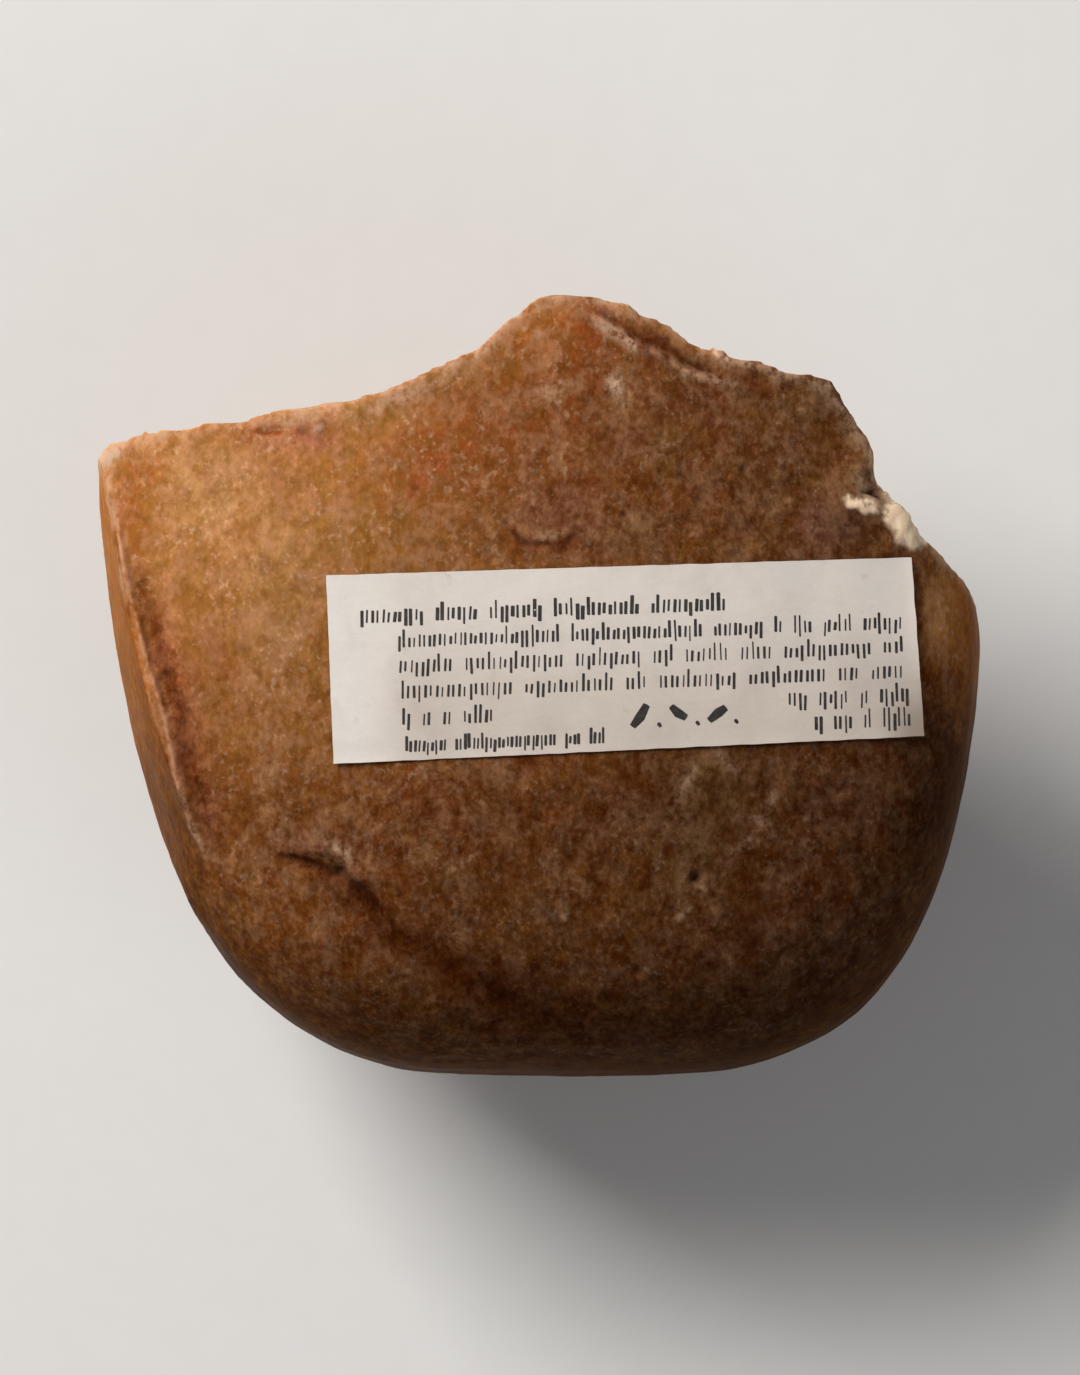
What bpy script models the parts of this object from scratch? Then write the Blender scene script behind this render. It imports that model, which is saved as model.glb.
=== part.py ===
"""A stone pebble tool: a river pebble of quartz with flakes struck off one side to make a chopping edge,
and a paper label glued to its smooth face.

It lies on its back. +X runs along the length, +Y points at the worked edge and +Z out of the labelled face.
The origin is under the middle of the bounding box, on the surface that the stone lies on.
"""

import math

import bmesh
import bpy
from mathutils import Matrix, Vector

MM = 0.001

# Driving dimensions, in millimetres
THICKNESS = 37.0
CENTRE = Vector((2.2, -4.0))  # plan place of the pebble's crown and belly
FACE_SAG = 3.6  # how far the smooth face falls from its crown before its shoulder begins to turn down
SHOULDER_FULLNESS = 2.2  # exponents of the shoulder and the back: higher is squarer
BACK_FULLNESS = 2.5
FLAT_DEPTH = 0.30  # how much of the round belly the resting flat takes off
POINT_SPACING = 1.65  # between neighbouring points of the outline

# How broad and how deep the shoulder of the face is, by bearing in degrees from the centre
SHOULDERS = (
    (-180, 7.0, 8.5),
    (-140, 9.0, 10.5),
    (-100, 11.5, 12.0),
    (-60, 11.0, 12.0),
    (-25, 7.5, 9.5),
    (10, 6.0, 8.5),
    (60, 9.0, 10.0),
    (120, 8.0, 9.0),
    (180, 7.0, 8.5),
)

# The pebble's own rounded side, counter-clockwise from the low left round the butt to the right shoulder
BUTT = (
    (-26.6, -19.1),
    (-23.4, -23.4),
    (-18.2, -27.7),
    (-11.4, -30.3),
    (-3.0, -30.9),
    (8.0, -30.9),
    (16.5, -30.2),
    (23.6, -27.2),
    (28.6, -22.2),
    (31.9, -15.4),
    (33.8, -8.0),
    (34.8, -0.5),
    (34.9, 4.6),
    (34.2, 8.1),
)

# Where the pebble's side ran before it was broken and flaked
LOST_SIDE = (
    (31.9, 17.5),
    (26.5, 26.5),
    (16.5, 33.5),
    (3.0, 36.5),
    (-11.0, 35.5),
    (-24.0, 31.5),
    (-33.5, 25.0),
    (-38.2, 15.5),
    (-38.2, 5.0),
    (-35.4, -5.0),
    (-31.2, -13.0),
)

# The worked edge from right to left: each cusp, and how far the stretch to the next one bows out
WORKED_EDGE = (
    (34.2, 8.1, 0.35),
    (31.4, 11.2, 0.1),
    (28.9, 13.9, 0.1),
    (26.8, 16.7, 0.2),
    (26.6, 18.7, -0.1),
    (23.8, 23.0, 0.4),
    (21.3, 25.1, -0.1),
    (17.0, 25.5, -0.2),
    (14.1, 26.7, -0.1),
    (11.7, 28.1, 0.15),
    (6.7, 30.1, 0.35),
    (1.0, 30.9, 0.3),
    (-3.0, 28.1, -0.15),
    (-4.6, 26.6, 0.1),
    (-8.6, 24.8, -0.5),
    (-17.6, 22.1, 0.15),
    (-23.6, 20.9, 0.25),
    (-30.6, 20.2, 0.1),
    (-32.6, 19.2, 0.35),
    (-34.7, 18.1, 0.0),
)

# The old break down the left side, from the corner to the butt: each point, and how broad the break's own
# face is there, seen from the front
LEFT_BREAK = (
    (-34.7, 18.1, 0.5),
    (-34.9, 14.5, 1.3),
    (-34.1, 6.5, 1.8),
    (-32.9, -1.0, 2.2),
    (-31.3, -7.5, 2.7),
    (-29.4, -13.5, 3.0),
    (-26.6, -19.1, 0.8),
)
BREAK_DROP = 13.0  # from the face down to the break's outermost line
BREAK_LEAN = 82.0  # degrees, below that line

# The three big scars on the back of the worked edge, from left to right. Each runs from one cusp of the edge
# to the next, and has its own lean in degrees and its own hollow
SCAR_CUSPS = ((-34.7, 18.1), (3.0, 31.0), (23.2, 23.4), (34.2, 8.1))
BIG_SCARS = ((57.0, 0.9), (56.0, 1.2), (57.0, 0.8))
SCAR_LENGTH = 21.0
EDGE_FADE = 4.5  # how far down a scar the wander of the edge is still felt

# Later, smaller scars. Each: bearing in degrees, width along the edge, length down the bevel, depth, and the
# lip left between the scar and the edge
SMALL_SCARS = {
    "scar_left": (131, 15.0, 10.0, 0.9, 0.6),
    "scar_step": (110, 11.0, 6.5, 0.8, 0.7),
    "scar_apex": (94, 8.0, 11.0, 0.7, 1.5),
    "scar_right": (67, 12.0, 8.0, 0.9, 0.7),
    "scar_shoulder": (36, 9.0, 11.0, 0.9, 0.9),
}
SCAR_HOLLOW = 12.0  # half thickness of the ellipsoid that stands for each flake

# Small flakes lost from the face side. Each: place (x, y), width, length, depth, and bearing of its width
FACE_CHIPS = {
    "chip_ridge": ((11.2, 27.3), 11.0, 3.2, 0.7, -28.0),
    "chip_notch": ((27.2, 15.6), 4.0, 2.8, 0.9, -50.0),
    "chip_shoulder": ((30.3, 11.9), 4.6, 2.4, 0.6, -46.0),
}
CHIP_HOLLOW = 5.0

# Broad hollows (negative) and swellings of the face. Each: place (x, y), reach along and across, height, bearing
UNDULATIONS = (
    ((-17.0, -15.5), 7.0, 2.6, -0.55, -30.0),
    ((-5.0, -24.0), 8.0, 4.5, -0.70, -30.0),
    ((-23.0, -19.0), 6.0, 4.0, 0.40, -50.0),
    ((14.0, -19.0), 9.0, 7.0, 0.35, 20.0),
    ((-24.0, 9.0), 6.0, 10.0, 0.35, 0.0),
    ((20.0, 18.0), 6.0, 5.0, -0.40, -30.0),
)

# The label, by its corners as seen from the front: low left, low right, top right, top left
LABEL_CORNERS = ((-16.2, -6.0), (30.1, -3.8), (29.1, 10.2), (-16.8, 8.8))
LABEL_THICKNESS = 0.15
LABEL_GAP = 0.30
LABEL_CELLS = (24, 7)

STONE_COLOUR = (0.40, 0.17, 0.06, 1.0)
PAPER_COLOUR = (0.80, 0.75, 0.70, 1.0)

FACE_RINGS = 12
BREAK_RINGS = 2
SIDE_RINGS = 8
BELLY_RINGS = 5
SPLINE_STEPS = 24


def smooth(share):
    """An ease from 0 to 1 as share goes from 0 to 1."""
    t = min(1.0, max(0.0, share))
    return t * t * (3.0 - 2.0 * t)


def clear_scene():
    for obj in list(bpy.data.objects):
        bpy.data.objects.remove(obj)


def spline(points, closed):
    """Points along the Catmull-Rom curve through the given points."""
    count = len(points)
    spans = count if closed else count - 1
    found = []
    for i in range(spans):
        if closed:
            p0, p1, p2, p3 = (Vector(points[(i + k) % count]) for k in (-1, 0, 1, 2))
        else:
            p1, p2 = Vector(points[i]), Vector(points[i + 1])
            p0 = Vector(points[i - 1]) if i else 2 * p1 - p2
            p3 = Vector(points[i + 2]) if i + 2 < count else 2 * p2 - p1
        for step in range(SPLINE_STEPS):
            t = step / SPLINE_STEPS
            line = 2 * p1 + (p2 - p0) * t
            bend = (2 * p0 - 5 * p1 + 4 * p2 - p3) * t**2 + (3 * p1 - p0 - 3 * p2 + p3) * t**3
            found.append(0.5 * (line + bend))
    if not closed:
        found.append(Vector(points[-1]))
    return found


def spaced(line):
    """The open line's points moved to an even spacing near POINT_SPACING. Its ends stay."""
    along = [0.0]
    for a, b in zip(line, line[1:]):
        along.append(along[-1] + (b - a).length)
    count = max(1, round(along[-1] / POINT_SPACING))
    found, i = [], 0
    for k in range(count + 1):
        want = along[-1] * k / count
        while i < len(line) - 2 and along[i + 1] < want:
            i += 1
        share = (want - along[i]) / (along[i + 1] - along[i])
        found.append(line[i].lerp(line[i + 1], share))
    return found


def bowed(start, end, bow):
    """An arc from start to end that stands bow millimetres out to the right of the way it runs."""
    chord = end - start
    out = Vector((chord.y, -chord.x)).normalized()
    steps = 8
    shares = [k / steps for k in range(steps + 1)]
    return [start + chord * t + out * (4.0 * bow * t * (1.0 - t)) for t in shares]


def bearing_of(p):
    """Bearing of a plan point from the centre, in degrees from -180 to 180."""
    return math.degrees(math.atan2(p.y - CENTRE.y, p.x - CENTRE.x))


def between(table, at, column):
    """A table's column at a place between its rows, whose first column is in rising order."""
    low, high = 0, len(table) - 1
    while high - low > 1:
        middle = (low + high) // 2
        if table[middle][0] <= at:
            low = middle
        else:
            high = middle
    a, b = table[low], table[high]
    return a[column] + (b[column] - a[column]) * (at - a[0]) / (b[0] - a[0])


def whole_pebble():
    """The outline of the pebble before it was broken, as rows of bearing and radius in rising order."""
    line = spline(BUTT + LOST_SIDE, closed=True)
    polar = sorted((bearing_of(p), (p - CENTRE).length) for p in line)
    last, first = polar[-1], polar[0]
    return [(last[0] - 360.0, last[1]), *polar, (first[0] + 360.0, first[1])]


PEBBLE = whole_pebble()


def eased_shoulder(bearing, column):
    """The shoulder's breadth or depth at a bearing, with no corner at the table's rows."""
    total = 0.0
    for k in range(-3, 4):
        at = (bearing + 6.0 * k + 180.0) % 360.0 - 180.0
        total += between(SHOULDERS, at, column)
    return total / 7.0


def widest_level(bearing):
    return THICKNESS - FACE_SAG - eased_shoulder(bearing, 2)


def undulation(x, y):
    total = 0.0
    for (cx, cy), along, across, height, bearing in UNDULATIONS:
        turn = math.radians(bearing)
        dx, dy = x - cx, y - cy
        u = (dx * math.cos(turn) + dy * math.sin(turn)) / along
        v = (dy * math.cos(turn) - dx * math.sin(turn)) / across
        total += height * math.exp(-(u * u + v * v))
    return total


def face_level(p):
    """Height of the labelled face above the resting surface, at a plan point."""
    bearing = bearing_of(p)
    radius = between(PEBBLE, bearing, 1)
    out = min(radius, (p - CENTRE).length)
    broad, deep = eased_shoulder(bearing, 1), eased_shoulder(bearing, 2)
    into = max(0.0, (out - radius + broad) / broad)
    turned = 1.0 - (1.0 - into**SHOULDER_FULLNESS) ** (1.0 / SHOULDER_FULLNESS)
    calm = smooth((radius - out) / 8.0)
    return THICKNESS - FACE_SAG * (out / radius) ** 2 - deep * turned + calm * undulation(p.x, p.y)


def back_level(p):
    """Height of the unflaked back. It dips under the resting surface, which then cuts it flat."""
    bearing = bearing_of(p)
    out = min(1.0, (p - CENTRE).length / between(PEBBLE, bearing, 1))
    dome = math.sqrt(1.0 - out**BACK_FULLNESS)
    level = widest_level(bearing)
    return level - (level + FLAT_DEPTH) * dome


def way(bearing):
    """The plan direction of a bearing in degrees."""
    turn = math.radians(bearing)
    return Vector((math.cos(turn), math.sin(turn)))


class BigScar:
    """One of the big scars: a slope that leans in under the edge, from one cusp of the edge to the next."""

    def __init__(self, left, right, lean, hollow):
        self.left = Vector(left)
        self.chord = Vector(right) - self.left
        self.out = Vector((-self.chord.y, self.chord.x)).normalized()
        self.start = face_level(self.left)
        self.rise = face_level(Vector(right)) - self.start
        self.lean = math.radians(lean)
        self.hollow = hollow
        self.sides = bearing_of(Vector(left)), bearing_of(Vector(right))

    def level(self, p):
        """Height of the slope at a plan point, also past its own ends."""
        along = (p - self.left).dot(self.chord) / self.chord.length_squared
        inside = (self.left - p).dot(self.out)
        return self.start + self.rise * min(1.0, max(0.0, along)) - math.tan(self.lean) * inside

    def across(self, bearing):
        """Share of the way across the scar, from 0 at its right side to 1 at its left."""
        left, right = self.sides
        return (bearing - right) / (left - right)

    def axes(self):
        """Directions along the edge, down the slope and square out of it."""
        side = self.out.to_3d() * math.cos(self.lean)
        down = -side - Vector((0.0, 0.0, math.sin(self.lean)))
        away = self.out.to_3d() * math.sin(self.lean) - Vector((0.0, 0.0, math.cos(self.lean)))
        return down.cross(away), down, away


SCARS = [
    BigScar(left, right, *sizes) for left, right, sizes in zip(SCAR_CUSPS, SCAR_CUSPS[1:], BIG_SCARS)
]


def scar_at(bearing):
    """The big scar below the worked edge at a bearing in degrees."""
    for scar in SCARS:
        if scar.across(bearing) > 0.0:
            return scar
    return SCARS[-1]


class Column:
    """One point of the outline, with the section of the stone between it and the centre."""

    def __init__(self, plan, worked, broken, brow_width):
        self.plan = plan
        self.worked = worked
        self.broken = broken
        self.length = (plan - CENTRE).length
        self.brow = 1.0 - brow_width / self.length
        self.rim = face_level(plan)
        if broken:
            break_rim = max(face_level(self.at(self.brow)) - BREAK_DROP, self.scars(1.0))
            self.rim += (break_rim - self.rim) * broken
        self.crease = self.find_crease()

    def at(self, share):
        return CENTRE + (self.plan - CENTRE) * share

    def scars(self, share):
        """Level of the deepest big scar."""
        return max(scar.level(self.at(share)) for scar in SCARS)

    def worked_level(self, share):
        """Level of the big scar below this part of the worked edge."""
        inward = self.length * (1.0 - share)
        down = min(1.0, inward / SCAR_LENGTH)
        scar = scar_at(bearing_of(self.plan))
        across = min(1.0, max(0.0, scar.across(bearing_of(self.plan))))
        bowl = scar.hollow * 16.0 * across * (1.0 - across) * down * (1.0 - down)
        wander = (self.rim - self.scars(1.0)) * math.exp(-inward / EDGE_FADE)
        return self.scars(share) + wander + bowl

    def cut_level(self, share):
        """Level of the scar or the break that cuts the back."""
        if self.worked:
            return self.worked_level(share)
        level = self.scars(share)
        if self.broken:
            inward = self.length * (1.0 - share)
            level = max(level, self.rim - math.tan(math.radians(BREAK_LEAN)) * inward)
        return level

    def find_crease(self):
        """Share of the way out at which the cut leaves the pebble's own back."""
        steps = 400
        last = 0.97 if self.worked else 0.68
        for k in range(int(0.08 * steps), int(last * steps)):
            share = k / steps
            if self.cut_level(share) > back_level(self.at(share)) + 0.002:
                return share
        return last

    def face_point(self, share):
        p = self.at(self.brow * share)
        return Vector((p.x, p.y, face_level(p)))

    def brow_point(self, share):
        """A point between the brow and the rim. On the left break it is the break's own steep face."""
        p = self.at(self.brow + (1.0 - self.brow) * share)
        natural = face_level(p)
        top = face_level(self.at(self.brow))
        steep = top + (self.rim - top) * share**1.4
        return Vector((p.x, p.y, natural + (steep - natural) * self.broken))

    def back_point(self, share):
        """A point of the back: the pebble's own skin, or the scar or break that cuts it off."""
        p = self.at(share)
        return Vector((p.x, p.y, max(back_level(p), self.cut_level(share))))


def columns():
    """The outline's columns, counter-clockwise from the right shoulder."""
    found = []
    for (x0, y0, bow), (x1, y1, _) in zip(WORKED_EDGE, WORKED_EDGE[1:]):
        stretch = spaced(bowed(Vector((x0, y0)), Vector((x1, y1)), bow))
        found += [Column(p, True, 0.0, 0.6) for p in stretch[:-1]]
    broken = spaced(spline(LEFT_BREAK, closed=False))
    for k, p in enumerate(broken[:-1]):
        left = 1.0 - k / (len(broken) - 1)
        found.append(Column(p.xy, False, smooth(left * 4.0), p.z))
    natural = spaced(spline(BUTT + LOST_SIDE, closed=True)[: (len(BUTT) - 1) * SPLINE_STEPS + 1])
    found += [Column(p, False, 0.0, 0.9) for p in natural[:-1]]
    return found


def bridge(mesh, outer, inner):
    """Faces between two rings of vertices."""
    count = len(outer)
    for i in range(count):
        j = (i + 1) % count
        mesh.faces.new((outer[i], outer[j], inner[j], inner[i]))


def section(column):
    """Points down one column, from the crown of the face round the rim to the belly."""
    points = []
    for k in range(1, FACE_RINGS + 1):
        points.append(column.face_point(math.sin(0.5 * math.pi * (k / FACE_RINGS) ** 0.85)))
    for k in range(1, BREAK_RINGS + 1):
        points.append(column.brow_point(k / BREAK_RINGS))
    for k in range(SIDE_RINGS - 1, 0, -1):
        share = k / SIDE_RINGS
        if not column.worked:
            share = math.sin(0.5 * math.pi * share)
        points.append(column.back_point(column.crease + (1.0 - column.crease) * share))
    for k in range(BELLY_RINGS, 0, -1):
        points.append(column.back_point(column.crease * k / BELLY_RINGS))
    return points


def blank_mesh(sides):
    """The stone before the small flakes were struck."""
    mesh = bmesh.new()
    lines = [[mesh.verts.new(p * MM) for p in section(column)] for column in sides]
    rings = list(zip(*lines))
    for inner, outer in zip(rings, rings[1:]):
        bridge(mesh, outer, inner)
    for ring, level in ((rings[0], face_level(CENTRE)), (rings[-1], back_level(CENTRE))):
        pole = mesh.verts.new(Vector((CENTRE.x, CENTRE.y, level)) * MM)
        for i in range(len(ring)):
            mesh.faces.new((ring[i], ring[(i + 1) % len(ring)], pole))
    bmesh.ops.recalc_face_normals(mesh, faces=mesh.faces)
    return mesh


def cut_resting_flat(mesh):
    """Cuts the belly off level with the surface that the stone lies on."""
    bmesh.ops.bisect_plane(
        mesh,
        geom=mesh.verts[:] + mesh.edges[:] + mesh.faces[:],
        dist=0.02 * MM,
        plane_co=(0, 0, 0),
        plane_no=(0, 0, -1),
        clear_outer=True,
    )
    for v in mesh.verts:
        if v.co.z < 0.03 * MM:
            v.co.z = 0.0
    bmesh.ops.remove_doubles(mesh, verts=mesh.verts, dist=0.03 * MM)
    bmesh.ops.contextual_create(mesh, geom=[e for e in mesh.edges if e.is_boundary])
    bmesh.ops.recalc_face_normals(mesh, faces=mesh.faces)


def material(name, colour, roughness):
    made = bpy.data.materials.new(name)
    made.use_nodes = True
    shader = made.node_tree.nodes["Principled BSDF"]
    shader.inputs["Base Color"].default_value = colour
    shader.inputs["Roughness"].default_value = roughness
    shader.inputs["Metallic"].default_value = 0.0
    return made


def add_object(name, mesh, made_of=None):
    data = bpy.data.meshes.new(name)
    mesh.to_mesh(data)
    mesh.free()
    obj = bpy.data.objects.new(name, data)
    bpy.context.scene.collection.objects.link(obj)
    if made_of:
        data.materials.append(made_of)
    return obj


def ellipsoid(name, centre, axes, radii):
    """A cutter: an ellipsoid whose half axes lie along three given directions, in millimetres."""
    mesh = bmesh.new()
    bmesh.ops.create_uvsphere(mesh, u_segments=30, v_segments=20, radius=1.0)
    turn = Matrix([axis.normalized() for axis in axes]).transposed().to_4x4()
    size = Matrix.Diagonal((*radii, 1.0))
    mesh.transform(Matrix.Scale(MM, 4) @ Matrix.Translation(centre) @ turn @ size)
    obj = add_object(name, mesh)
    obj.hide_render = True
    obj.display_type = "WIRE"
    return obj


def half_width(width, depth, hollow):
    """The half axis that makes an ellipsoid's cap of that depth that wide."""
    return 0.5 * width / math.sqrt(1.0 - (1.0 - depth / hollow) ** 2)


def flake_cutter(sides, name, bearing, width, length, depth, lip):
    """The hollow that one blow left, down the bevel from the edge."""
    worked = [c for c in sides if c.worked]
    column = min(worked, key=lambda c: abs(bearing_of(c.plan) - bearing))
    axes = scar_at(bearing).axes()
    edge = Vector((column.plan.x, column.plan.y, column.rim))
    middle = edge + axes[1] * (lip + 0.5 * length)
    return ellipsoid(
        name,
        middle + axes[2] * (SCAR_HOLLOW - depth),
        axes,
        (
            half_width(width, depth, SCAR_HOLLOW),
            half_width(length, depth, SCAR_HOLLOW),
            SCAR_HOLLOW,
        ),
    )


def face_normal(p):
    step = 0.3
    along, across = Vector((step, 0.0)), Vector((0.0, step))
    slope_x = (face_level(p + along) - face_level(p - along)) / (2 * step)
    slope_y = (face_level(p + across) - face_level(p - across)) / (2 * step)
    return Vector((-slope_x, -slope_y, 1.0)).normalized()


def chip_cutter(name, place, width, length, depth, bearing):
    """A shallow flake lost from the face, just inside the edge."""
    p = Vector(place)
    away = face_normal(p)
    along = way(bearing).to_3d()
    across = away.cross(along).normalized()
    middle = Vector((p.x, p.y, face_level(p)))
    return ellipsoid(
        name,
        middle + away * (CHIP_HOLLOW - depth),
        (across.cross(away), across, away),
        (
            half_width(width, depth, CHIP_HOLLOW),
            half_width(length, depth, CHIP_HOLLOW),
            CHIP_HOLLOW,
        ),
    )


def build_stone():
    sides = columns()
    mesh = blank_mesh(sides)
    cut_resting_flat(mesh)
    stone = add_object("pebble", mesh, material("quartz", STONE_COLOUR, 0.45))
    cutters = [flake_cutter(sides, name, *sizes) for name, sizes in SMALL_SCARS.items()]
    cutters += [chip_cutter(name, *sizes) for name, sizes in FACE_CHIPS.items()]
    for cutter in cutters:
        cut = stone.modifiers.new(cutter.name, "BOOLEAN")
        cut.operation = "DIFFERENCE"
        cut.object = cutter
    return stone


def label_point(u, v, lift):
    """A point of the label at shares u along and v up it, lift millimetres off the face."""
    low_left, low_right, top_right, top_left = (Vector(c) for c in LABEL_CORNERS)
    p = low_left.lerp(low_right, u).lerp(top_left.lerp(top_right, u), v)
    return Vector((p.x, p.y, face_level(p))) + face_normal(p) * lift


def build_label():
    """The paper label: a thin sheet bent over the face."""
    mesh = bmesh.new()
    wide, high = LABEL_CELLS
    layers = []
    for lift in (LABEL_GAP, LABEL_GAP + LABEL_THICKNESS):
        grid = []
        for j in range(high + 1):
            row = [label_point(i / wide, j / high, lift) for i in range(wide + 1)]
            grid.append([mesh.verts.new(p * MM) for p in row])
        layers.append(grid)
    under, over = layers
    for j in range(high):
        for i in range(wide):
            for grid in (under, over):
                mesh.faces.new((grid[j][i], grid[j][i + 1], grid[j + 1][i + 1], grid[j + 1][i]))
    for j in (0, high):
        for i in range(wide):
            mesh.faces.new((under[j][i], under[j][i + 1], over[j][i + 1], over[j][i]))
    for i in (0, wide):
        for j in range(high):
            mesh.faces.new((under[j][i], under[j + 1][i], over[j + 1][i], over[j][i]))
    bmesh.ops.recalc_face_normals(mesh, faces=mesh.faces)
    return add_object("paper_label", mesh, material("paper", PAPER_COLOUR, 0.85))


def main():
    clear_scene()
    build_stone()
    build_label()


main()
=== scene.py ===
"""The looks of the stone pebble tool: water-worn, iron-stained quartz with an old paper label glued on.

The stone's relief is worked into a fine copy of its solid. Lengths are in millimetres unless a comment says
otherwise, in the part's own frame: +X along the stone, +Y towards its worked edge, +Z out of the labelled face.
"""

import math
import random

import bmesh
import bpy
import numpy as np
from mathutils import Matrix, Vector, noise
from mathutils.bvhtree import BVHTree

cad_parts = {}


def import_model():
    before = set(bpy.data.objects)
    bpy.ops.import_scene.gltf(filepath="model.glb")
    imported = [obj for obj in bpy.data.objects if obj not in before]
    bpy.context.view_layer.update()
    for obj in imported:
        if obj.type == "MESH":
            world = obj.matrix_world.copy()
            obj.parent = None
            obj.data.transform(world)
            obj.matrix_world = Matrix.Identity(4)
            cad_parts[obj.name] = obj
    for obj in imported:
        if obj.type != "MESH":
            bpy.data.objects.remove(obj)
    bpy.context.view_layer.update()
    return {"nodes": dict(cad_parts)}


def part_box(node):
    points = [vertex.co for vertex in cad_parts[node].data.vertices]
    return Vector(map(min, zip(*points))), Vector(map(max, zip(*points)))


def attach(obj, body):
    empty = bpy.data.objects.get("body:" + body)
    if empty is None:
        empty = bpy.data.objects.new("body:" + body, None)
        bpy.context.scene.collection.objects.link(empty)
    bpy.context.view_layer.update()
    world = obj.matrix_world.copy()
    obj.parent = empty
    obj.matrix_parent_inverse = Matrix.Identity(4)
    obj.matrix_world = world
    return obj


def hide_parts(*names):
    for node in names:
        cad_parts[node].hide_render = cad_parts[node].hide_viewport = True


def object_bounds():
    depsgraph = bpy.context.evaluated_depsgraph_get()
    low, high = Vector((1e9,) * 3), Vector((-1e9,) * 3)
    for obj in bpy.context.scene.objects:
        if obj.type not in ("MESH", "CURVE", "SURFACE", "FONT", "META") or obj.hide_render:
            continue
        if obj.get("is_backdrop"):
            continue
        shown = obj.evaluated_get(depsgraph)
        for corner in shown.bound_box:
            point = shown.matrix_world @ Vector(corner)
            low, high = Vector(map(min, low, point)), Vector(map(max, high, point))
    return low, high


MM = 0.001

# The fine copy of the stone: its cells, which are halved over the labelled face and again at small features,
# how often it is smoothed before that and after it, and the shares of each step in and of the step back out
VOXEL = 0.55
SMOOTH_BEFORE = 8
SMOOTH_AFTER = 2
STEP_IN = 0.5
STEP_OUT = -0.52
WALL_ROUNDS = 30  # more smoothing, for the flat break at the left
EDGE_ROUNDS = 9  # and for the worn edge

# A place well inside the stone's outline in plan, and the number of directions in which the outline is measured
MIDDLE = (2.2, -4.0)
DIRECTIONS = 720

# The big scars on the back, from cusp to cusp of the worked edge, left to right, their lean in degrees, and the
# place that their ripples spread from
SCAR_CUSPS = ((-34.7, 18.1), (3.0, 31.0), (23.2, 23.4), (34.2, 8.1))
SCAR_LEAN = 56.5
RIPPLES_FROM = (4.0, 38.0, 30.0)

# Lines on the face. The crest and the groove run down beside the break on the left
CREST = (
    (-33.4, 15.4), (-32.9, 11.8), (-32.2, 7.7), (-31.2, 3.9), (-30.3, 0.5),
    (-29.4, -2.2), (-28.5, -6.6), (-27.1, -11.2), (-25.3, -14.8),
)
GROOVE = (
    (-31.5, 9.4), (-30.9, 7.0), (-30.0, 3.7), (-29.0, 0.4),
    (-28.1, -2.3), (-27.4, -6.6), (-26.0, -11.0), (-24.4, -14.4),
)
STEP = (
    (-20.9, -13.4), (-19.0, -13.7), (-17.1, -14.3), (-15.3, -14.7),
    (-14.4, -15.6), (-12.3, -18.2), (-10.7, -19.7),
)
STEP_LIP = ((-20.0, -12.4), (-17.6, -12.7), (-15.8, -13.3), (-14.0, -14.7), (-12.2, -16.6))
DEEP_FOLD = ((-14.9, -15.3), (-12.4, -18.7), (-8.8, -21.1), (-4.5, -23.6), (-0.2, -25.6), (5.9, -26.4))
APEX_VALLEY = (
    (4.6, 29.6), (6.1, 28.5), (7.5, 27.5), (9.6, 26.55), (11.6, 25.35), (13.9, 24.6), (15.6, 24.5),
)
APEX_LIP = ((3.7, 29.0), (5.2, 28.3), (7.2, 26.8), (9.3, 25.8), (11.4, 24.6), (13.9, 23.8))
APEX_BEVEL = ((4.4, 30.4), (8.6, 29.0), (11.6, 27.2), (15.2, 25.4))
APEX_SEAM = ((8.9, 27.2), (8.7, 26.0), (9.2, 24.9), (8.9, 23.4))
CHIP_CRACK = ((25.3, 15.0), (26.3, 15.05), (27.2, 14.6), (28.3, 14.1))
RING_CRACK = (0.6, 14.1, 3.3)  # the arc that a blow left: centre and radius

# Pits of the face: place, radius and depth
PITS = (
    (12.4, -15.2, 0.36, 0.70),
    (6.8, 13.2, 0.30, 0.25),
    (16.2, 16.8, 0.34, 0.28),
    (7.9, -22.5, 0.45, 0.25),
    (10.6, -17.6, 0.35, 0.22),
    (-18.4, 19.7, 0.45, 0.22),
    (-15.5, -14.6, 0.50, 0.32),
    (-2.4, 12.6, 0.30, 0.20),
    (20.5, -12.4, 0.35, 0.20),
    (-9.5, 15.2, 0.30, 0.18),
)

# Knobs and ledges of broken crystal, and small worn knobs: place, reach along and across, turn in degrees, rise
# and whiteness
KNOBS = (
    (25.3, 14.15, 1.15, 0.60, -12.0, 0.24, 0.70),
    (26.0, 13.9, 0.80, 0.65, 0.0, 0.18, 0.80),
    (28.9, 12.7, 1.90, 1.25, -52.0, 0.28, 0.90),
    (29.4, 11.9, 1.40, 1.15, -52.0, 0.22, 1.1),
    (27.3, 15.4, 1.30, 0.48, -55.0, 0.28, 0.55),
    (-21.2, 19.80, 1.35, 0.34, 4.0, -0.14, 0.0),
    (-17.5, 20.3, 0.75, 0.55, 30.0, 0.20, 0.0),
    (14.3, 26.0, 0.60, 0.40, -20.0, 0.25, 0.4),
    (-34.2, 17.6, 0.60, 0.50, 40.0, 0.12, 0.2),
    (-16.2, -13.0, 1.00, 0.50, -20.0, 0.22, 0.0),
    (-14.6, -14.4, 0.70, 0.45, -50.0, 0.16, 0.0),
)

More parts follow.
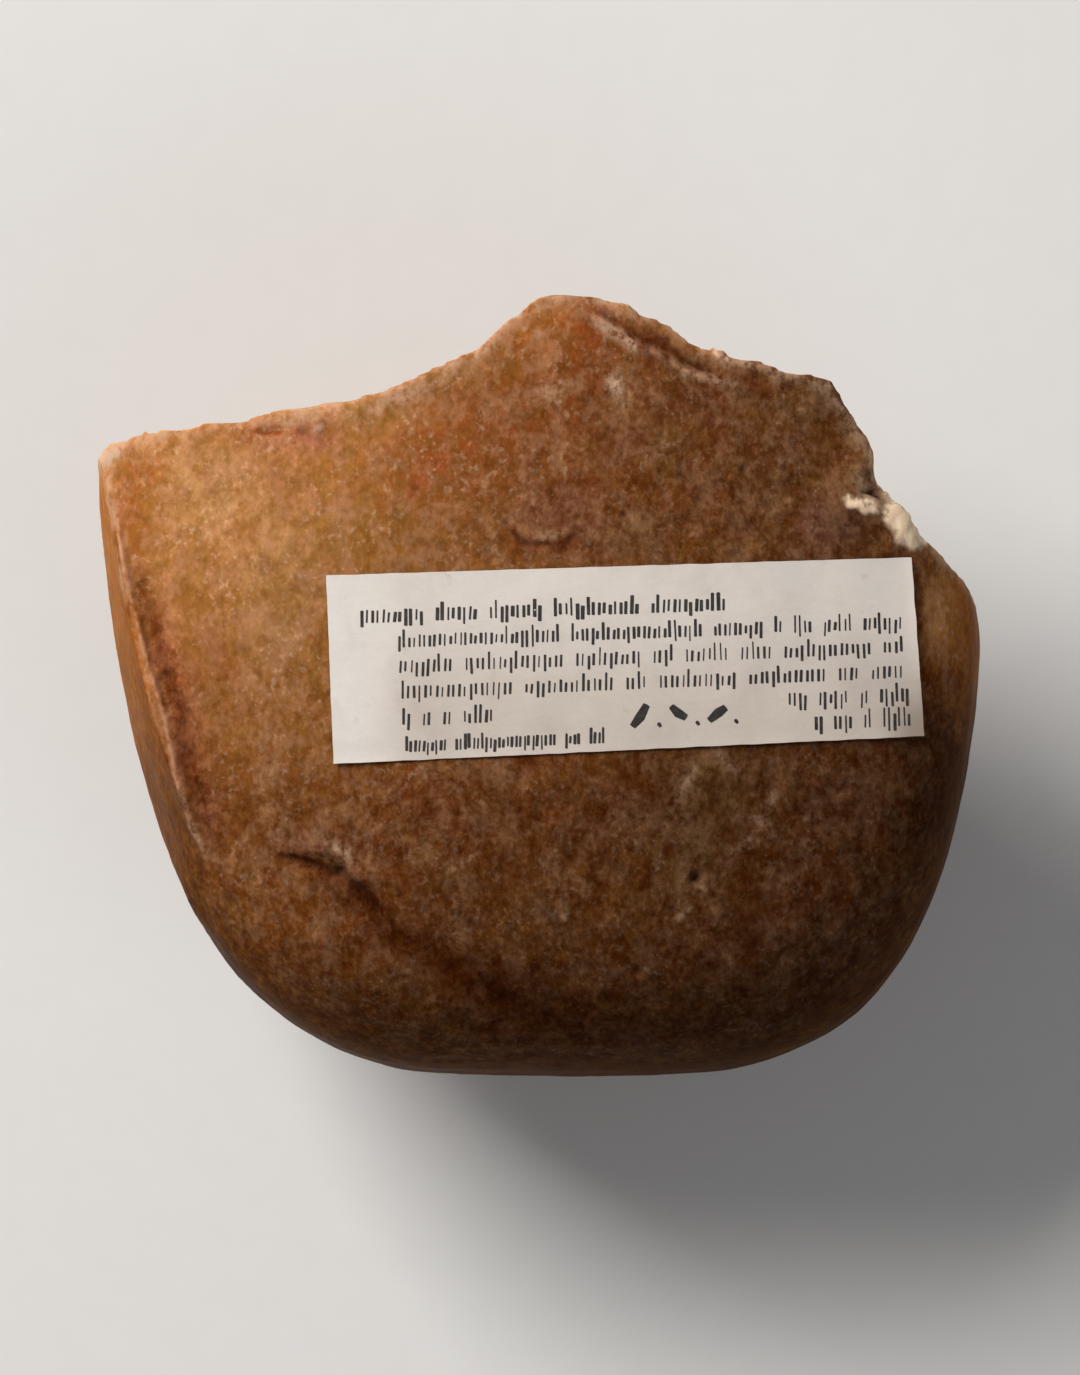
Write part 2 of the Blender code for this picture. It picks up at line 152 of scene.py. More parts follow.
# Patches of colour on the face: place, reach along X and Y, a turn in degrees in some rows, and strength
VIOLET = (
    (23.0, 13.2, 2.6, 2.2, 1.4),
    (21.2, 11.2, 3.0, 2.0, 0.7),
    (7.1, 11.6, 3.0, 2.0, 0.5),
    (-17.6, 20.0, 1.7, 1.3, 1.3),
    (1.6, 13.6, 3.2, 2.6, 0.90),
    (6.5, 19.5, 3.4, 2.6, 0.55),
    (11.8, 22.6, 3.4, 1.6, 0.55),
    (9.5, -9.5, 7.0, 3.0, 0.50),
    (-18.0, -12.2, 3.4, 1.3, 0.8),
    (-29.7, 2.6, 1.0, 4.0, 1.0),
    (-28.0, -3.8, 1.1, 4.0, 1.0),
    (-26.0, -10.5, 1.0, 3.6, 0.8),
    (19.0, 19.0, 4.0, 2.2, 0.45),
    (-9.0, 23.2, 3.0, 0.8, 0.6),
    (17.0, -19.0, 7.0, 5.0, 0.35),
    (24.0, -8.0, 5.0, 4.0, 0.35),
    (-7.0, -11.0, 4.0, 3.0, 0.3),
)
RED = (
    (-21.0, 19.8, 4.2, 1.1, 1.2),
    (-3.5, 20.5, 6.0, 4.0, 0.65),
    (4.6, 29.0, 1.8, 1.4, 1.0),
    (8.6, 26.4, 0.9, 1.8, 1.0),
    (3.8, 25.6, 2.4, 3.8, 0.8),
    (-10.0, 17.5, 4.0, 2.6, 0.55),
    (-30.8, -9.5, 0.9, 2.4, 0.9),
    (-32.3, -1.5, 0.9, 3.4, 0.6),
    (-14.0, -20.0, 6.0, 4.0, 0.35),
    (29.5, 9.0, 1.6, 2.4, 0.6),
    (3.0, -12.0, 5.0, 4.0, 0.25),
    (16.0, 14.6, 3.5, 1.5, 0.5),
    (1.5, 25.0, 4.5, 4.5, 0.40),
    (-5.5, 15.5, 8.0, 5.0, 0.22),
    (-24.0, 12.0, 1.6, 3.0, 0.35),
)
PALE = (
    (-24.0, 15.2, 4.0, 4.2, 1.15),
    (-21.0, 9.0, 3.2, 5.0, 0.65),
    (-34.3, 18.0, 0.8, 0.7, 1.3),
    (-26.5, 4.0, 2.4, 9.0, 0.30),
    (-27.0, 16.4, 2.2, 2.0, 0.55),
    (-14.6, 21.0, 0.9, 0.8, 0.7),
    (22.4, 23.2, 2.4, 1.2, 0.6),
    (24.8, 15.4, 1.8, 1.8, 0.7),
    (31.0, 7.0, 1.6, 3.0, 0.9),
    # Painted light: the steep place beside the chip, which falls in shade, is made lighter
    (25.6, 18.0, 1.4, 1.8, 0.9),
    (7.0, 12.2, 2.4, 2.0, 0.7),
    (-20.5, 5.0, 2.6, 3.0, 0.6),
    (-15.5, -13.2, 1.6, 0.9, 0.6),
    (10.5, -7.5, 1.6, 3.0, 0.80),
    (12.5, -13.0, 1.6, 3.4, 0.90),
    (14.2, -7.5, 1.2, 2.4, 0.70),
    (7.0, -29.0, 9.0, 0.6, 0.9),
    (6.2, 22.6, 0.8, 2.2, 0.8),
    (-4.0, 12.0, 3.0, 1.0, 0.35),
)
OLIVE = (
    (14.0, -8.0, 2.8, 2.6, 1.2),
    (10.0, -13.5, 3.4, 3.0, 0.6),
    (9.0, 20.0, 2.0, 3.4, 0.6),
    (20.0, 13.6, 4.5, 5.0, 0.7),
    (22.6, 21.5, 3.4, 2.4, 0.6),
    (-30.9, 7.8, 1.1, 2.4, 0.9),
    (-27.2, -10.6, 1.3, 2.0, 0.6),
    (-25.5, 8.5, 3.4, 8.0, 0.35),
    (-22.5, 14.0, 2.6, 2.4, 0.45),
    (0.0, -20.0, 14.0, 6.0, 0.2),
)
AMBER = (
    (33.4, 4.0, 1.8, 7.0, 1.0),
    (-21.2, 19.80, 1.5, 0.40, 2.4),
    (-33.5, 4.0, 1.3, 12.0, 0.8),
    (-30.0, -13.0, 2.0, 7.0, 0.7),
    (-0.5, 27.0, 4.0, 3.6, 1.0),
    (-6.5, 21.0, 2.4, 2.4, 0.7),
    (-32.0, 14.0, 2.4, 4.0, 0.6),
    (-20.0, 5.0, 8.0, 14.0, 0.3),
    (-23.0, -18.5, 6.0, 6.0, 0.8),
    (3.5, 29.2, 3.4, 1.6, 0.8),
    (11.0, 26.8, 3.0, 1.6, 0.7),
)
FROST = (
    (5.4, 28.2, 1.5, 0.45, -32.0, 0.6),
    (7.2, 27.0, 0.9, 0.40, -40.0, 0.6),
    (5.9, 23.8, 0.60, 0.90, 20.0, 1.1),
    (0.8, 23.4, 1.6, 0.8, 10.0, 0.35),
    (13.4, 24.3, 2.2, 0.35, -14.0, 0.4),
    (27.4, 15.0, 1.3, 0.40, -42.0, 0.65),
    (14.6, 26.1, 0.65, 0.35, -15.0, 1.1),
    (-34.0, 18.25, 1.1, 0.50, 28.0, 1.9),
    (-17.4, 20.4, 0.60, 0.35, 30.0, 0.75),
    (-21.0, 19.30, 1.4, 0.20, 4.0, 0.45),
    (-19.4, 20.9, 2.2, 0.35, 6.0, 0.45),
    (-27.5, 20.3, 2.6, 0.45, 4.0, 0.15),
    (-10.5, 23.0, 3.6, 0.45, 22.0, 0.45),
    (-15.6, -12.9, 1.2, 0.45, -35.0, 0.50),
    (0.7, 12.0, 1.2, 0.35, 10.0, 0.35),
    # Painted light: the steep place beside the chip, which falls in shade, is made lighter
    (26.1, 16.8, 0.8, 1.0, 0.0, 0.20),
    (1.9, -18.1, 0.20, 0.20, 0.0, 0.6),
    (12.5, -15.8, 0.40, 0.16, 0.0, 0.40),
    (11.7, -7.3, 1.5, 0.40, 64.0, 0.34),
    (14.8, -5.9, 1.4, 0.35, -45.0, 0.27),
    (18.3, -8.8, 0.9, 0.35, 66.0, 0.26),
    (17.3, -10.5, 0.8, 0.30, -18.0, 0.28),
    (16.2, -12.2, 0.8, 0.30, 45.0, 0.28),
    (11.2, -17.9, 0.7, 0.30, 40.0, 0.28),
)

# Darker patches of the face, and lighter ones, whose strength is below nought
SHADE = (
    (4.0, -26.3, 6.5, 1.8, 0.30),
    (1.2, 13.6, 2.8, 2.4, 0.10),
    (-7.2, -9.5, 6.0, 3.0, 0.12),
    (-16.2, -14.8, 2.2, 0.7, -20.0, 0.20),
    (-32.0, 15.0, 1.6, 3.0, 0.15),
    (-21.2, 19.80, 1.4, 0.36, 0.40),
    (-27.2, 0.5, 4.0, 8.0, 0.21),
    (-27.9, -4.0, 1.8, 3.4, 0.10),
    (-32.5, 8.0, 1.8, 6.0, 0.24),
    (-20.7, 16.4, 3.0, 3.0, 0.16),
    (21.4, 11.6, 4.0, 2.4, -0.50),
    (28.2, 11.6, 1.8, 2.0, -0.60),
    (26.0, 18.2, 1.3, 1.7, -1.10),
    (24.4, 12.4, 1.6, 1.4, 0.42),
    (22.4, 14.6, 1.6, 1.3, -0.45),
    (24.6, 16.5, 2.0, 3.0, -0.75),
    (19.0, 19.5, 6.0, 3.5, -0.20),
    (31.9, 6.0, 2.4, 3.8, -0.70),
    (30.9, 5.5, 1.6, 5.0, -0.60),
    (31.7, -8.0, 2.6, 6.0, 0.25),
    (1.5, 28.0, 4.0, 3.4, -0.28),
    (10.2, 26.5, 1.8, 0.50, -34.0, 0.32),
    (26.2, 16.5, 0.9, 0.9, 0.45),
)

# The label: its cells along and up it, its paper's thickness, and how far the paper stands off the stone and
# the ink off the paper
LABEL_CELLS = (150, 50)
PAPER = 0.10
PAPER_LIFT = 0.05
PRINT_RISE = 0.02

# Its rows of marks: where each starts and ends along the label, its level up the label, the strokes' weight and
# height, and the number of marks in each of its words. The ends and the level are shares of the label's sides
ROWS = (
    (0.054, 0.680, 0.742, 0.27, 0.98, (6, 4, 5, 8, 7)),
    (0.116, 0.978, 0.605, 0.21, 0.95, (16, 13, 5, 1, 2, 3, 4)),
    (0.116, 0.978, 0.470, 0.19, 0.95, (5, 9, 6, 2, 4, 3, 8, 2)),
    (0.118, 0.974, 0.332, 0.20, 0.95, (10, 8, 2, 7, 7, 2, 3)),
    (0.118, 0.276, 0.186, 0.22, 0.95, (1, 1, 1, 3)),
    (0.122, 0.462, 0.046, 0.21, 0.85, (5, 12, 2, 2)),
    (0.772, 0.982, 0.200, 0.22, 1.05, (2, 3, 1, 3)),
    (0.815, 0.982, 0.064, 0.22, 1.05, (1, 2, 1, 3)),
)
PEN = (0.505, 0.700, 0.128)  # the pen marks: from and to along the label, and their level
PEN_DABS = (
    ((0.15, 0.0), (0.75, 0.7), (1.35, 1.7)),
    ((0.25, 1.5), (0.75, 0.9), (1.35, 0.5)),
    ((0.15, 0.2), (0.9, 0.8), (1.5, 1.2)),
)
PEN_DOT = ((2.15, -0.05), (2.25, 0.02), (2.35, 0.07))

# The lights: place from the stone's middle and size, both in metres, power in watts, and colour
KEY_LIGHT = ((-0.56, 0.54, 0.62), 0.5, 12.4, (1.0, 0.97, 0.93))
FILL_LIGHT = ((0.40, -0.38, 0.36), 0.5, 0.8, (0.98, 0.98, 1.0))
WORLD_COLOUR = (0.97, 0.98, 1.0, 1.0)
WORLD_STRENGTH = 0.13
FLOOR_HALF = 1.6  # metres

# The camera looks straight down on the face from this far, in metres. The stone fills this share of the frame's
# width, at this share of its height
CAMERA_DISTANCE = 1.4
STONE_SHARE = 0.8176
SHARE_LEVEL = 0.78


def smoothstep(low, high, value):
    t = np.clip((value - low) / (high - low), 0.0, 1.0)
    return t * t * (3.0 - 2.0 * t)


def new_object(name, mesh):
    obj = bpy.data.objects.new(name, mesh)
    bpy.context.scene.collection.objects.link(obj)
    return obj


# ---------------------------------------------------------------- the stone's shape


def read_points(mesh):
    """The mesh's vertices in millimetres."""
    points = np.empty(len(mesh.vertices) * 3)
    mesh.vertices.foreach_get("co", points)
    return points.reshape(-1, 3) / MM


def write_points(mesh, points):
    mesh.vertices.foreach_set("co", (points * MM).ravel())
    mesh.update()


def read_normals(mesh):
    normals = np.empty(len(mesh.vertices) * 3)
    mesh.vertex_normals.foreach_get("vector", normals)
    return normals.reshape(-1, 3)


def read_edges(mesh):
    edges = np.empty(len(mesh.edges) * 2, dtype=np.int64)
    mesh.edges.foreach_get("vertices", edges)
    return edges.reshape(-1, 2)


def neighbour_mean(values, edges):
    """The mean of each vertex's neighbours."""
    count = len(values)
    a, b = edges[:, 0], edges[:, 1]
    degree = np.bincount(a, minlength=count) + np.bincount(b, minlength=count)
    columns = []
    for column in values.reshape(count, -1).T:
        total = np.bincount(a, column[b], minlength=count) + np.bincount(b, column[a], minlength=count)
        columns.append(total / np.maximum(degree, 1))
    return np.stack(columns, axis=1).reshape(values.shape)


def blur(values, edges, rounds):
    """Each vertex takes its neighbours' mean, over and over."""
    for _ in range(rounds):
        values = neighbour_mean(values, edges)
    return values


def relax(points, edges, share, rounds=1):
    """Moves each vertex a share of the way to its neighbours' mean, over and over."""
    for _ in range(rounds):
        points = points + share * (neighbour_mean(points, edges) - points)
    return points


def smooth_points(points, edges, rounds):
    """Rounds the surface off over a few neighbours, with a step back out after each that keeps its size."""
    for _ in range(rounds):
        points = relax(points, edges, STEP_IN)
        points = relax(points, edges, STEP_OUT)
    return points


def fine_copy(node, name):
    """A new mesh of one CAD node, in even small cells."""
    mesh = node.data.copy()
    work = bmesh.new()
    work.from_mesh(mesh)
    bmesh.ops.remove_doubles(work, verts=work.verts, dist=0.001 * MM)
    work.to_mesh(mesh)
    work.free()
    rough = new_object("rough_" + name, mesh)
    remesh = rough.modifiers.new("cells", "REMESH")
    remesh.mode = "VOXEL"
    remesh.voxel_size = VOXEL * MM
    graph = bpy.context.evaluated_depsgraph_get()
    fine = bpy.data.meshes.new_from_object(rough.evaluated_get(graph))
    fine.name = name
    fine.materials.clear()
    bpy.data.objects.remove(rough)
    return fine


def put_back(mesh, node):
    """Moves a fine copy's vertices onto its solid, which takes the steps out of its ridges."""
    solid = bmesh.new()
    solid.from_mesh(node.data)
    bmesh.ops.triangulate(solid, faces=solid.faces)
    tree = BVHTree.FromBMesh(solid)
    solid.free()
    nearest = [tree.find_nearest(v.co)[0] for v in mesh.vertices]
    write_points(mesh, np.array(nearest) / MM)


def to_line(points, line):
    """Distance in plan from each point to a line of points, and the share of the way along it."""
    nearest = np.full(len(points), 1e9)
    along = np.zeros(len(points))
    for k, (a, b) in enumerate(zip(line, line[1:])):
        a, b = np.array(a), np.array(b)
        ab = b - a
        t = np.clip(((points[:, :2] - a) @ ab) / (ab @ ab), 0.0, 1.0)
        d = np.linalg.norm(points[:, :2] - (a + t[:, None] * ab), axis=1)
        closer = d < nearest
        nearest[closer] = d[closer]
        along[closer] = ((k + t) / (len(line) - 1))[closer]
    return nearest, along


def taper(along, start, end):
    """Fades a line out over its two ends."""
    return smoothstep(0.0, start, along) * smoothstep(0.0, end, 1.0 - along)


def fractal(points, scale, octaves, seed, squeeze=(1.0, 1.0, 1.0)):
    """Smooth noise, about -1 to 1, whose largest lumps are scale millimetres across."""
    shift = Vector((17.3 * seed, 5.1 * seed, 9.7 * seed))
    factor = Vector(squeeze) / scale
    found = [noise.fractal(Vector(p) * factor + shift, 1.0, 2.0, octaves) for p in points]
    return np.array(found)


def facets(points, scale, seed):
    """Tilted flats, as in broken crystal: each cell has its own slope, and the joints are soft."""
    shift = Vector((3.7 * seed, 8.9 * seed, 1.3 * seed))
    found = []
    for p in points:
        at = Vector(p) / scale + shift
        distances, cells = noise.voronoi(at)
        lean = (noise.cell_vector(cells[0] * 7.1) - Vector((0.5, 0.5, 0.5))) * 2.0
        joint = min(1.0, (distances[1] - distances[0]) / 0.30)
        found.append((at - cells[0]).dot(lean) * joint)
    return np.array(found)


def refine(mesh, wanted):
    """Halves the cells that the test wants, from their middles in millimetres and their normals."""
    work = bmesh.new()
    work.from_mesh(mesh)
    centres = np.array([f.calc_center_median() for f in work.faces]) / MM
    normals = np.array([f.normal for f in work.faces])
    edges = {e for f, inside in zip(work.faces, wanted(centres, normals)) if inside for e in f.edges}
    bmesh.ops.subdivide_edges(work, edges=list(edges), cuts=1, use_grid_fill=True)
    work.to_mesh(mesh)
    work.free()


def on_the_face(centres, normals):
    """The labelled face and its shoulders, but not what the label covers."""
    low, high = (np.array(corner)[:2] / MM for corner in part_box("paper_label"))
    covered = np.all((centres[:, :2] > low + 2.0) & (centres[:, :2] < high - 2.0), axis=1)
    return (normals[:, 2] > 0.35) & ~covered


def at_a_feature(centres, normals):
    """Round the pits, cracks, knobs and ridges."""
    near = np.zeros(len(centres), dtype=bool)
    for x, y, radius, _ in PITS:
        near |= np.hypot(centres[:, 0] - x, centres[:, 1] - y) < 0.5 + 1.4 * radius
    for x, y, along, *_ in KNOBS:
        near |= np.hypot(centres[:, 0] - x, centres[:, 1] - y) < 1.1 * along
    for line, reach in ((CREST, 0.6), (STEP, 0.8), (APEX_VALLEY, 0.8), (APEX_LIP, 0.6), (CHIP_CRACK, 0.7)):
        near |= to_line(centres, line)[0] < reach
    cx, cy, radius = RING_CRACK
    ring = np.abs(np.hypot(centres[:, 0] - cx, centres[:, 1] - cy) - radius) < 0.6
    near |= ring & (centres[:, 1] < cy)
    return near & (normals[:, 2] > 0.05)


def patch(points, x, y, along, across, turn=0.0, power=2.0):
    """A soft patch in plan: 1 at its middle, fading out over its reach."""
    c, s = math.cos(math.radians(turn)), math.sin(math.radians(turn))
    dx, dy = points[:, 0] - x, points[:, 1] - y
    u, v = (c * dx + s * dy) / along, (c * dy - s * dx) / across
    return np.exp(-(np.abs(u) ** power + np.abs(v) ** power))


def patches(points, spots, facing):
    """The sum of a list of patches. Each ends with its strength, after its turn if it has one."""
    total = np.zeros(len(points))
    for *where, strength in spots:
        total += strength * patch(points, *where)
    return total * facing


def scar_mask(points, normals):
    """Where the surface is one of the big scars on the back: 0 to 1."""
    mask = np.zeros(len(points))
    lean = math.radians(SCAR_LEAN)
    for left, right in zip(SCAR_CUSPS, SCAR_CUSPS[1:]):
        chord = np.array(right) - np.array(left)
        out = np.array((-chord[1], chord[0])) / np.linalg.norm(chord)
        square = np.array((*(out * math.sin(lean)), -math.cos(lean)))
        mask = np.maximum(mask, smoothstep(0.72, 0.88, normals @ square))
    return mask * smoothstep(2.0, 6.0, points[:, 1])


def behind_outline(points):
    """How far each point is inside the stone's outline in plan, measured towards the stone's middle."""
    dx, dy = points[:, 0] - MIDDLE[0], points[:, 1] - MIDDLE[1]
    reach = np.hypot(dx, dy)
    where = (np.arctan2(dy, dx) / (2.0 * math.pi) % 1.0 * DIRECTIONS).astype(int) % DIRECTIONS
    outline = np.zeros(DIRECTIONS)
    np.maximum.at(outline, where, reach)
    outline = (np.roll(outline, 1) + outline + np.roll(outline, -1)) / 3.0
    return outline[where] - reach


def line_relief(points, line, width, height, ends):
    """A ridge, or a groove, along a line: its height at each point, and how near its middle that is."""
    off, along = to_line(points, line)
    near = np.exp(-((off / width) ** 2)) * taper(along, *ends)
    return height * near, near


def worn_relief(points, facing, scars, edge, inset):
    """The relief's height at each vertex, with its darkening by dirt and painted shade, its painted shade and
    light, its pale rims, which are partly a painted highlight, and its broken crystal.
    """
    height = np.zeros(len(points))
    dirt_and_shade = np.zeros(len(points))
    shade = patches(points, SHADE, facing)
    milk_and_highlight = np.zeros(len(points))
    skin = 1.0 - scars

    # Water-worn skin: broad swells, dimples, and the fine upright grain of the quartz
    height += 0.15 * fractal(points, 11.0, 3, 1) * (0.5 + 0.5 * skin)
    height += 0.07 * fractal(points, 3.0, 3, 2) * (0.5 + 0.5 * facing)
    dimple = fractal(points, 1.5, 3, 3, (1.0, 0.7, 1.0))
    height -= 0.07 * smoothstep(0.25, 0.80, dimple) * skin
    grain = fractal(points, 0.95, 3, 7, (1.0, 0.55, 1.0))
    height += 0.018 * (0.5 - np.abs(grain)) * (0.4 + 0.6 * facing) * skin

    # Fractured quartz on the scars: ripples down from the edge, and small flats
    rough = np.flatnonzero(scars > 0.02)
    flats, small, ripple = (np.zeros(len(points)) for _ in range(3))
    flats[rough] = facets(points[rough], 4.2, 4)
    small[rough] = facets(points[rough], 1.7, 5)
    away = np.linalg.norm(points[rough] - np.array(RIPPLES_FROM), axis=1)
    ripple[rough] = np.sin(away * 2.2 + 2.0 * dimple[rough])
    height += scars * (0.80 * flats + 0.22 * small + 0.07 * ripple) * smoothstep(0.5, 3.0, inset)

    # The crest and groove beside the left break, the step below it and the fold that runs on from that, and the
    # lines at the apex and the chip
    lump = 0.55 + 0.9 * smoothstep(-0.4, 0.4, fractal(points, 2.2, 2, 12))
    # Each line: width, rise, the fade of its ends, dirt, painted shade along it (painted light where below
    # nought), and a pale rim that is partly a painted highlight
    for line, width, rise, ends, soil, dark, milky in (
        (CREST, 0.22, 0.24, (0.10, 0.12), 0.0, 0.0, 0.36),
        (GROOVE, 1.00, -0.34, (0.14, 0.20), 0.0, 0.33, 0.0),
        (STEP, 0.60, -0.24, (0.20, 0.30), 0.0, 0.30, 0.0),
        (STEP, 0.28, -0.14, (0.10, 0.45), 0.14, 0.32, 0.0),
        (STEP_LIP, 0.90, 0.28, (0.20, 0.30), 0.0, 0.0, 0.10),
        (DEEP_FOLD, 1.70, -0.42, (0.10, 0.30), 0.0, 0.42, 0.0),
        (APEX_VALLEY, 0.46, -0.26, (0.12, 0.20), 0.08, 0.40, 0.0),
        (APEX_LIP, 0.36, 0.20, (0.15, 0.20), 0.0, 0.0, 0.22),
        (APEX_BEVEL, 0.90, 0.0, (0.10, 0.10), 0.0, -0.60, 0.0),
        (APEX_SEAM, 0.30, -0.12, (0.2, 0.3), 0.4, 0.0, 0.0),
        (CHIP_CRACK, 0.20, -0.24, (0.20, 0.10), 0.45, 0.2, 0.0),
    ):
        relief, near = line_relief(points, line, width, rise, ends)
        height += relief * facing * (1.0 if width > 1.0 else lump)
        dirt_and_shade += soil * near * facing * lump
        shade += dark * near * facing
        milk_and_highlight += milky * near * (0.3 + 0.7 * facing)

    # Knobs of broken crystal
    crystal = np.zeros(len(points))
    upward = smoothstep(-0.2, 0.3, facing)
    wander = np.stack([fractal(points, 1.3, 2, seed) for seed in (21, 22)], axis=1)
    bent = np.column_stack((points[:, :2] + 0.33 * wander, points[:, 2]))
    for x, y, along, across, turn, rise, white in KNOBS:
        near = patch(bent, x, y, along, across, turn, 3.0) * upward
        height += rise * near * (0.85 + 0.6 * dimple)
        crystal = np.maximum(crystal, white * near)

    # Pits, and the arc of an old blow
    # Pits and the arc are darkened in their hollows: dirt and painted shade
    for x, y, radius, depth in PITS:
        sunk = patch(points, x, y, radius, radius) * facing
        height -= depth * sunk
        dirt_and_shade += 2.0 * depth * sunk
    cx, cy, radius = RING_CRACK
    dx, dy = points[:, 0] - cx, points[:, 1] - cy
    below = smoothstep(0.45, 0.75, -dy / radius) * facing
    out = np.hypot(dx, dy) - radius - 0.12 * np.sin(5.0 * np.arctan2(dy, dx)) - 0.15 * dimple
    sunk = np.exp(-((out / 0.22) ** 2)) * below * lump
    height += 0.10 * np.exp(-(((out + 0.7) / 0.5) ** 2)) * below - 0.16 * sunk
    dirt_and_shade += 0.30 * sunk
    shade += 0.35 * np.exp(-((out / 0.45) ** 2)) * below

    # The worked edge is worn, with small bites out of it
    nibble = smoothstep(0.0, 0.6, fractal(points, 1.6, 2, 9))
    bite = smoothstep(0.0, 0.6, fractal(points, 4.0, 2, 10))
    height -= edge * (0.03 * nibble + 0.08 * bite)
    return height, dirt_and_shade, shade, milk_and_highlight, crystal


def tone_and_shade(points, normals):
    """How light the stone is, partly its own tone and partly painted shade and light: honey at the left, dark
    brown at the lower right, middling behind.
    """
    x, y = points[:, 0], points[:, 1]
    across = np.exp(-0.032 * (x + 20.0) + (0.022 - 0.0004 * (x + 20.0)) * (y - 8.0))
    # Painted light at the right rim, and painted shade on the wall that faces left and along the low rim
    across += 0.35 * smoothstep(28.0, 34.0, x) * smoothstep(-6.0, 4.0, y)
    across *= 1.0 - 0.44 * smoothstep(0.55, 0.85, -normals[:, 0])
    across *= (1.0 - 0.22 * smoothstep(2.0, 10.0, -y)) * (1.0 - 0.28 * smoothstep(16.0, 27.0, -y))
    behind = smoothstep(-0.10, 0.45, -normals[:, 2])
    face = np.clip(0.35 * across, 0.045, 0.42)
    return face * (1.0 - behind) + (0.075 + 0.45 * face) * behind


def add_attribute(mesh, name, values):
    attribute = mesh.attributes.new(name, "FLOAT", "POINT")
    attribute.data.foreach_set("value", np.asarray(values, dtype=np.float32))


def take_attribute(mesh, name):
    values = np.empty(len(mesh.vertices), dtype=np.float32)
    mesh.attributes[name].data.foreach_get("value", values)
    mesh.attributes.remove(mesh.attributes[name])
    return values.astype(float)


def wear_edge(points, normals, edges):
    """Rounds off the worked edge, which stands out from its surroundings, and gives its mask: 0 to 1."""
    proud = np.einsum("ij,ij->i", points - blur(points, edges, 4), normals)
    edge = smoothstep(0.06, 0.14, proud) * smoothstep(4.0, 9.0, points[:, 1])
    edge *= smoothstep(20.0, 26.0, points[:, 2])
    for _ in range(3):
        edge = np.maximum(edge, 0.9 * neighbour_mean(edge, edges))
    rounded = relax(points, edges, 0.5 * edge[:, None], EDGE_ROUNDS)
    lost = blur(points - rounded, edges, EDGE_ROUNDS)
    return rounded + 1.6 * edge[:, None] * lost, edge


def raise_relief(points, normals, edges, height, low, high):
    """Lifts the relief and eases sharp single points. The stone keeps its resting flat and its box."""
    off_flat = smoothstep(0.1, 1.0, points[:, 2])
    points = points + normals * (height * off_flat)[:, None]
    for _ in range(3):
        away = neighbour_mean(points, edges) - points
        sharp = smoothstep(0.05, 0.12, np.linalg.norm(away, axis=1)) * off_flat
        points = points + 0.6 * sharp[:, None] * away
    lowest, highest = points.min(axis=0), points.max(axis=0)
    return low + (points - lowest) * (high - low) / (highest - lowest)


def build_stone(node):
    """The stone as one fine mesh, with its relief and the fields that its material reads."""
    low, high = (np.array(corner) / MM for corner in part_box("pebble"))
    mesh = fine_copy(node, "pebble_stone")
    put_back(mesh, node)
    edges = read_edges(mesh)
    points = smooth_points(read_points(mesh), edges, SMOOTH_BEFORE)
    write_points(mesh, points)
    points, edge = wear_edge(points, read_normals(mesh), edges)
    write_points(mesh, points)
    add_attribute(mesh, "edge", edge)
    refine(mesh, on_the_face)
    refine(mesh, at_a_feature)
    edge = take_attribute(mesh, "edge")

    edges = read_edges(mesh)
    points = smooth_points(read_points(mesh), edges, SMOOTH_AFTER)
    flat_wall = smoothstep(0.80, 0.92, -read_normals(mesh)[:, 0])[:, None]
    points = relax(points, edges, 0.5 * flat_wall, WALL_ROUNDS)
    write_points(mesh, points)
    normals = read_normals(mesh)
    facing = smoothstep(0.10, 0.50, normals[:, 2])
    scars = scar_mask(points, normals)
    inset = behind_outline(points)
    height, dirt_and_shade, shade, milk_and_highlight, crystal = worn_relief(points, facing, scars, edge, inset)
    points = raise_relief(points, normals, edges, height, low, high)
    write_points(mesh, points)

    proud = np.einsum("ij,ij->i", points - blur(points, edges, 2), normals)
    # Surfaces that face sideways get a deeper, redder hue and fewer pale grains: painted, standing in for the
    # rims in shade
    side = smoothstep(-0.78, -0.30, -normals[:, 2]) * smoothstep(-0.30, 0.0, normals[:, 2])
    fields = {
        "tone_and_shade": tone_and_shade(points, normals) * (1.0 - np.clip(shade, -1.4, 0.7)),
        "shade_tint": np.clip(1.6 * shade, 0.0, 1.0),
        "scar": scars,
        "edge": edge * (1.0 - np.clip(2.0 * shade, 0.0, 1.0)),
        # Concave places are darkened as well: painted shade in the hollows
        "dirt_and_shade": np.clip(dirt_and_shade + 0.25 * smoothstep(0.015, 0.06, -proud), 0.0, 1.0),
        "lit": smoothstep(0.008, 0.04, proud),
        "crystal": crystal,
        "side": side * (1.0 - 0.5 * edge),
    }
    around = 0.55 + 0.45 * facing
    for name, spots in (
        ("violet", VIOLET),
        ("red", RED),
        ("pale", PALE),
        ("olive", OLIVE),
        ("amber", AMBER),
        ("frost", FROST),
    ):
        fields[name] = patches(points, spots, around)
    # The ridges' pale rims, partly a painted highlight, join the frost
    fields["frost"] += milk_and_highlight
    for name, values in fields.items():
        add_attribute(mesh, name, values)
    mesh.polygons.foreach_set("use_smooth", [True] * len(mesh.polygons))
    mesh.update()
    return new_object("pebble_stone", mesh)


# ---------------------------------------------------------------- the label's shape


def label_corners(node):
    """The CAD label's corners in plan: low left, low right, top right, top left."""
    points = read_points(node.data)
    found = []
    for sx, sy in ((-1, -1), (1, -1), (1, 1), (-1, 1)):
        best = np.argmax(points[:, 0] * sx + 3.0 * points[:, 1] * sy)
        found.append(points[best][:2])
    return found


